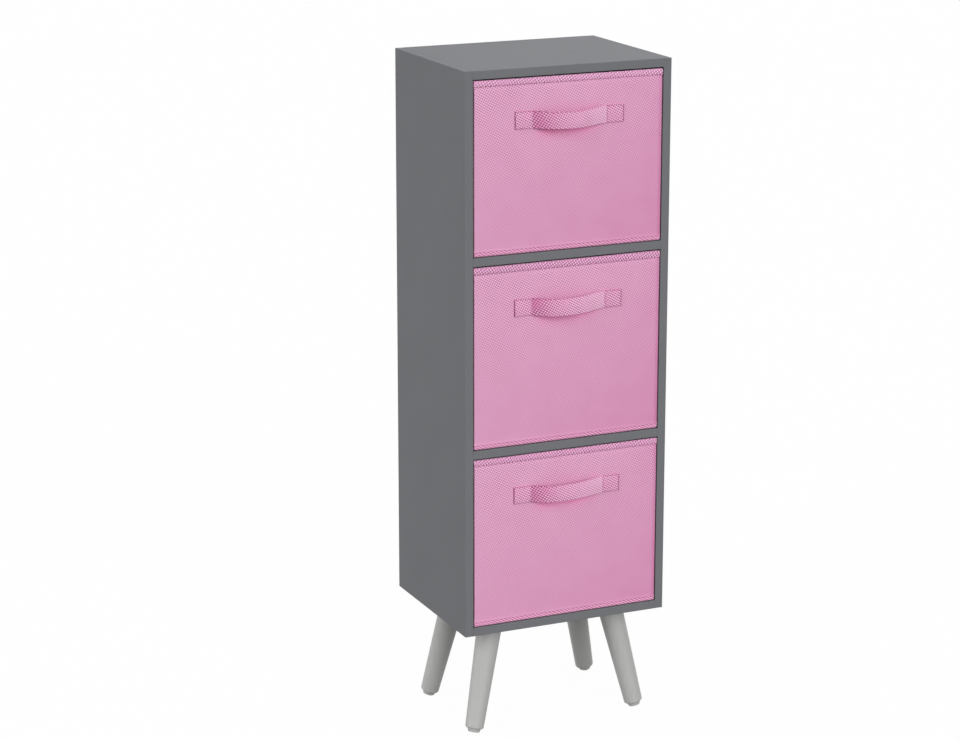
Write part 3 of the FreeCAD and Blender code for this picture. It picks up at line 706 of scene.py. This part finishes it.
    # painted shade: the strap's cut ends are painted deeper
    endShare = addNode(tree, "ShaderNodeMath", {0: place["X"], 1: halfLength}, operation="DIVIDE")
    toEnd = addNode(tree, "ShaderNodeMath", {0: endShare}, operation="ABSOLUTE")
    isEnd = addNode(tree, "ShaderNodeMath", {0: toEnd, 1: strapCut["cutShare"]}, operation="GREATER_THAN")
    tone = addNode(tree, "ShaderNodeMath", {
        0: isEnd, 1: given["End Shade"], 2: onLoop}, operation="MULTIPLY_ADD")
    fadedPits = addNode(tree, "ShaderNodeMapRange", {
        "Value": tone, "From Min": 0.0, "From Max": given["Lit End"],
        "To Min": strapCut["clear"], "To Max": strapCut["litEndClear"]})
    mark = addNode(tree, "ShaderNodeCombineXYZ", {0: fadedPits, 1: strapCut["cross"], 2: tone})
    printed = addNode(tree, "GeometryNodeStoreNamedAttribute", {
        "Geometry": smooth, "Name": "clothPrint", "Value": mark}, data_type="FLOAT_VECTOR")
    halfWidth = addNode(tree, "ShaderNodeMath", {0: given["Width"], 1: 0.5}, operation="MULTIPLY")
    halfHere = addNode(tree, "ShaderNodeMath", {0: halfWidth, 1: kept}, operation="MULTIPLY")
    unsagged = addNode(tree, "ShaderNodeMath", {0: place["Z"], 1: drop}, operation="ADD")
    across = addNode(tree, "ShaderNodeMath", {0: unsagged, 1: halfHere}, operation="DIVIDE")
    rim = addNode(tree, "ShaderNodeCombineXYZ", {0: endShare, 1: across})
    edged = addNode(tree, "GeometryNodeStoreNamedAttribute", {
        "Geometry": printed, "Name": "strapRim", "Value": rim}, data_type="FLOAT_VECTOR")
    placed = addNode(tree, "GeometryNodeTransform", {"Geometry": edged, "Translation": given["Place"]})
    real = addNode(tree, "GeometryNodeRealizeInstances", {"Geometry": placed})
    dressed = addNode(tree, "GeometryNodeSetMaterial", {"Geometry": real, "Material": given["Cloth"]})
    addNode(tree, "NodeGroupOutput", {0: dressed})
    return tree


stitchCut = {
    "pitch": 0.0034, "stitch": 0.0029, "thread": 0.0007, "shortest": 0.88, "longest": 1.08, "lean": 0.06,
    "segments": 6, "rings": 5, "tabEdge": 0.0011, "seamRise": 0.0003, "proud": 0.0001,
}


# One stitch at each step of a seam line, laid along the line, with a little uneven length and lean
def stitchTree():
    tree = newTree("sewnSeam", [
        ("Seam", "Geometry"), ("Pitch", "Float"), ("Stitch", "Float"), ("Thread", "Float"), ("Seed", "Int"),
        ("Thread Finish", "Material")])
    given = addNode(tree, "NodeGroupInput").outputs
    steps = addNode(tree, "GeometryNodeResampleCurve", {
        "Curve": given["Seam"], "Length": given["Pitch"]}, mode="LENGTH")
    capsule = addNode(tree, "GeometryNodeMeshUVSphere", {
        "Segments": stitchCut["segments"], "Rings": stitchCut["rings"], "Radius": 0.5})
    tangent = addNode(tree, "GeometryNodeInputTangent")
    laid = addNode(tree, "FunctionNodeAlignRotationToVector", {"Vector": tangent}, axis="X")
    lean = addNode(tree, "FunctionNodeRandomValue", {
        "Min": (-stitchCut["lean"],) * 3, "Max": (stitchCut["lean"],) * 3, "Seed": given["Seed"]},
        data_type="FLOAT_VECTOR")
    leaned = addNode(tree, "FunctionNodeRotateRotation", {
        "Rotation": laid, "Rotate By": lean}, rotation_space="LOCAL")
    length = addNode(tree, "FunctionNodeRandomValue", {
        2: stitchCut["shortest"], 3: stitchCut["longest"], "Seed": given["Seed"]}, data_type="FLOAT")
    long = addNode(tree, "ShaderNodeMath", {0: given["Stitch"], 1: length.outputs[1]}, operation="MULTIPLY")
    size = addNode(tree, "ShaderNodeCombineXYZ", {0: long, 1: given["Thread"], 2: given["Thread"]})
    sewn = addNode(tree, "GeometryNodeInstanceOnPoints", {
        "Points": steps, "Instance": capsule, "Rotation": leaned, "Scale": size})
    real = addNode(tree, "GeometryNodeRealizeInstances", {"Geometry": sewn})
    smooth = addNode(tree, "GeometryNodeSetShadeSmooth", {"Geometry": real})
    dressed = addNode(tree, "GeometryNodeSetMaterial", {
        "Geometry": smooth, "Material": given["Thread Finish"]})
    addNode(tree, "NodeGroupOutput", {0: dressed})
    return tree


bowedStrap = strapTree()
sewnSeam = stitchTree()


def strapHandle(drawer):
    low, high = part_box(drawer + "_strap_handle")
    host = bpy.data.objects.new("strapHost", bpy.data.meshes.new("strapHost"))
    bpy.context.scene.collection.objects.link(host)
    middleY = high.y - strapCut["thickness"] / 2
    mesh = meshFromTree(host, bowedStrap, {
        "Length": high.x - low.x, "Sewn Tab": strapCut["tab"], "Width": high.z - low.z,
        "Thickness": strapCut["thickness"], "Edge": strapCut["edge"], "Bow": strapCut["bow"],
        "Left Slope": strapCut["leftSlope"], "Right Slope": strapCut["rightSlope"], "Bend": strapCut["bend"],
        "Sag": sewing[drawer]["sag"], "Narrow": sewing[drawer]["narrow"], "Fold Shade": strapCut["foldShade"],
        "Lit End": strapCut["litEnd"], "End Shade": strapCut["endShade"],
        "Place": ((low.x + high.x) / 2, middleY, (low.z + high.z) / 2), "Steps": strapCut["steps"],
        "Cloth": finishes["strap_webbing"]}, drawer + "_strap")
    return newPiece(drawer + "_strap", mesh, drawer, "strap_webbing", drawer + "_strap_handle")


# A seam line as a curve object, one spline for each list of points
def seamCurve(name, lines):
    curve = bpy.data.curves.new(name, "CURVE")
    curve.dimensions = "3D"
    for points, closed in lines:
        spline = curve.splines.new("POLY")
        spline.points.add(len(points) - 1)
        for target, point in zip(spline.points, points):
            target.co = (*point, 1.0)
        spline.use_cyclic_u = closed
    host = bpy.data.objects.new(name, curve)
    bpy.context.scene.collection.objects.link(host)
    return host


# Seams of one drawer: round the rim inside and out, and round each sewn tab of the strap
def drawerSeams(drawer):
    low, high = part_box(drawer + "_rim_binding")
    low.x += sewing[drawer]["drawIn"]
    seamZ = low.z - sewing[drawer]["hang"] + stitchCut["seamRise"]
    proud = stitchCut["proud"]
    thick = bindingCut["wall"] + bindingCut["tape"]
    lines = []
    for inset in (-proud, thick + proud):
        plan = planRing(low, high, inset, bindingCut["corner"])
        lines.append(([(point.x, point.y, seamZ) for point, outward, share in plan], True))
    low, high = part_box(drawer + "_strap_handle")
    faceY = high.y - strapCut["thickness"] - proud
    edge = stitchCut["tabEdge"]
    bottomZ, topZ = low.z + edge, high.z - edge
    for nearX, farX in ((low.x, low.x + strapCut["tab"]), (high.x - strapCut["tab"], high.x)):
        leftX, rightX = nearX + edge, farX - edge
        box = [(leftX, faceY, bottomZ), (rightX, faceY, bottomZ), (rightX, faceY, topZ), (leftX, faceY, topZ)]
        lines.append((box, True))
    return lines


def drawerStitches(drawer, seed):
    host = seamCurve("seamHost", drawerSeams(drawer))
    mesh = meshFromTree(host, sewnSeam, {
        "Pitch": stitchCut["pitch"], "Stitch": stitchCut["stitch"], "Thread": stitchCut["thread"],
        "Seed": seed, "Thread Finish": finishes["thread"]}, drawer + "_stitches")
    return newPiece(drawer + "_stitches", mesh, drawer, "binding_fabric")


for seed, drawer in enumerate(drawerNames, start=3):
    fabricCover(drawer, seed)
    drawerLining(drawer, seed)
    wrappedBase(drawer)
    rimBinding(drawer, seed)
    strapHandle(drawer)
    drawerStitches(drawer, seed)
    print("drawer dressed:", drawer)

# Camera: place in metres and angles in degrees, as worked out from the cabinet's corners in the photograph
shot = {
    "place": (-1.64204, -3.47116, 1.51257), "tilt": 75.2219, "turn": -24.1996,
    "lens": 104.959, "sensor": 36.0, "clipEnd": 100.0,
}
cameraData = bpy.data.cameras.new("camera")
cameraData.lens = shot["lens"]
cameraData.sensor_width = shot["sensor"]
cameraData.sensor_fit = "HORIZONTAL"
cameraData.clip_end = shot["clipEnd"]
camera = bpy.data.objects.new("camera", cameraData)
camera.location = shot["place"]
camera.rotation_euler = (math.radians(shot["tilt"]), 0.0, math.radians(shot["turn"]))
bpy.context.scene.collection.objects.link(camera)
bpy.context.scene.camera = camera
bpy.context.scene.view_settings.view_transform = "Standard"

studio = {
    "skyLight": 0.25, "floorColour": "#909090", "floorWhite": 0.95, "floorGlow": 1.03, "floorSize": 60.0,
    "lamps": {
        "topLamp": {"strength": 0.85, "spread": 40.0, "way": (0.0, 0.0, 1.0)},
        "highFrontLamp": {"strength": 1.45, "spread": 40.0, "way": (0.0, -0.866, 0.5)},
        "lowFrontLamp": {"strength": 0.8, "spread": 30.0, "way": (0.0, -0.966, 0.259)},
        "leftRearLamp": {"strength": 0.6, "spread": 40.0, "way": (-0.6, 0.7, 0.38)},
        "leftFrontLamp": {"strength": 0.78, "spread": 30.0, "way": (-0.8, -0.3, 0.52)},
        "rightRearLamp": {"strength": 0.9, "spread": 40.0, "way": (0.75, 0.6, 0.28)},
        "lowLeftLamp": {"strength": 0.78, "spread": 30.0, "way": (-0.93, 0.35, 0.12)},
    },
}


# 1 for what the camera sees, straight, mirrored or through something, and 0 for light on its way
def seenRay(tree):
    path = addNode(tree, "ShaderNodeLightPath").outputs
    seen = path["Is Camera Ray"]
    for kind in ("Is Glossy Ray", "Is Transmission Ray"):
        seen = addNode(tree, "ShaderNodeMath", {0: seen, 1: path[kind]}, operation="MAXIMUM")
    return seen


# White to the camera and to reflections, plain light to everything else
def whiteSky():
    world = bpy.data.worlds.new("studioSky")
    bpy.context.scene.world = world
    world.use_nodes = True
    tree = world.node_tree
    tree.nodes.clear()
    seen = seenRay(tree)
    strength = addNode(tree, "ShaderNodeMix", {0: seen, 2: studio["skyLight"], 3: 1.0})
    sky = addNode(tree, "ShaderNodeBackground", {"Color": (1, 1, 1, 1), "Strength": strength})
    addNode(tree, "ShaderNodeOutputWorld", {"Surface": sky})


# The floor is mostly white to the camera, and keeps a faint shadow
def paleFloor():
    half = studio["floorSize"] / 2
    mesh = bpy.data.meshes.new("floor")
    corners = [(-half, -half, 0), (half, -half, 0), (half, half, 0), (-half, half, 0)]
    mesh.from_pydata(corners, [], [(0, 1, 2, 3)])
    material, tree = newMaterial("paleFloor")
    matt = addNode(tree, "ShaderNodeBsdfDiffuse", {"Color": hexColour(studio["floorColour"])})
    white = addNode(tree, "ShaderNodeEmission", {"Color": (1, 1, 1, 1), "Strength": studio["floorGlow"]})
    share = addNode(tree, "ShaderNodeMath", {0: seenRay(tree), 1: studio["floorWhite"]}, operation="MULTIPLY")
    mixed = addNode(tree, "ShaderNodeMixShader", {0: share, 1: matt, 2: white})
    closeMaterial(tree, mixed)
    mesh.materials.append(material)
    floor = bpy.data.objects.new("floor", mesh)
    bpy.context.scene.collection.objects.link(floor)


# A far soft lamp: way points from the object to it, and spread is the angle that it fills
def softLamp(name, strength, spread, way):
    data = bpy.data.lights.new(name, "SUN")
    data.energy = strength
    data.angle = math.radians(spread)
    lamp = bpy.data.objects.new(name, data)
    lamp.rotation_euler = Vector(way).to_track_quat("Z", "Y").to_euler()
    bpy.context.scene.collection.objects.link(lamp)


whiteSky()
paleFloor()
for lampName, lamp in studio["lamps"].items():
    softLamp(lampName, **lamp)
print("studio set")
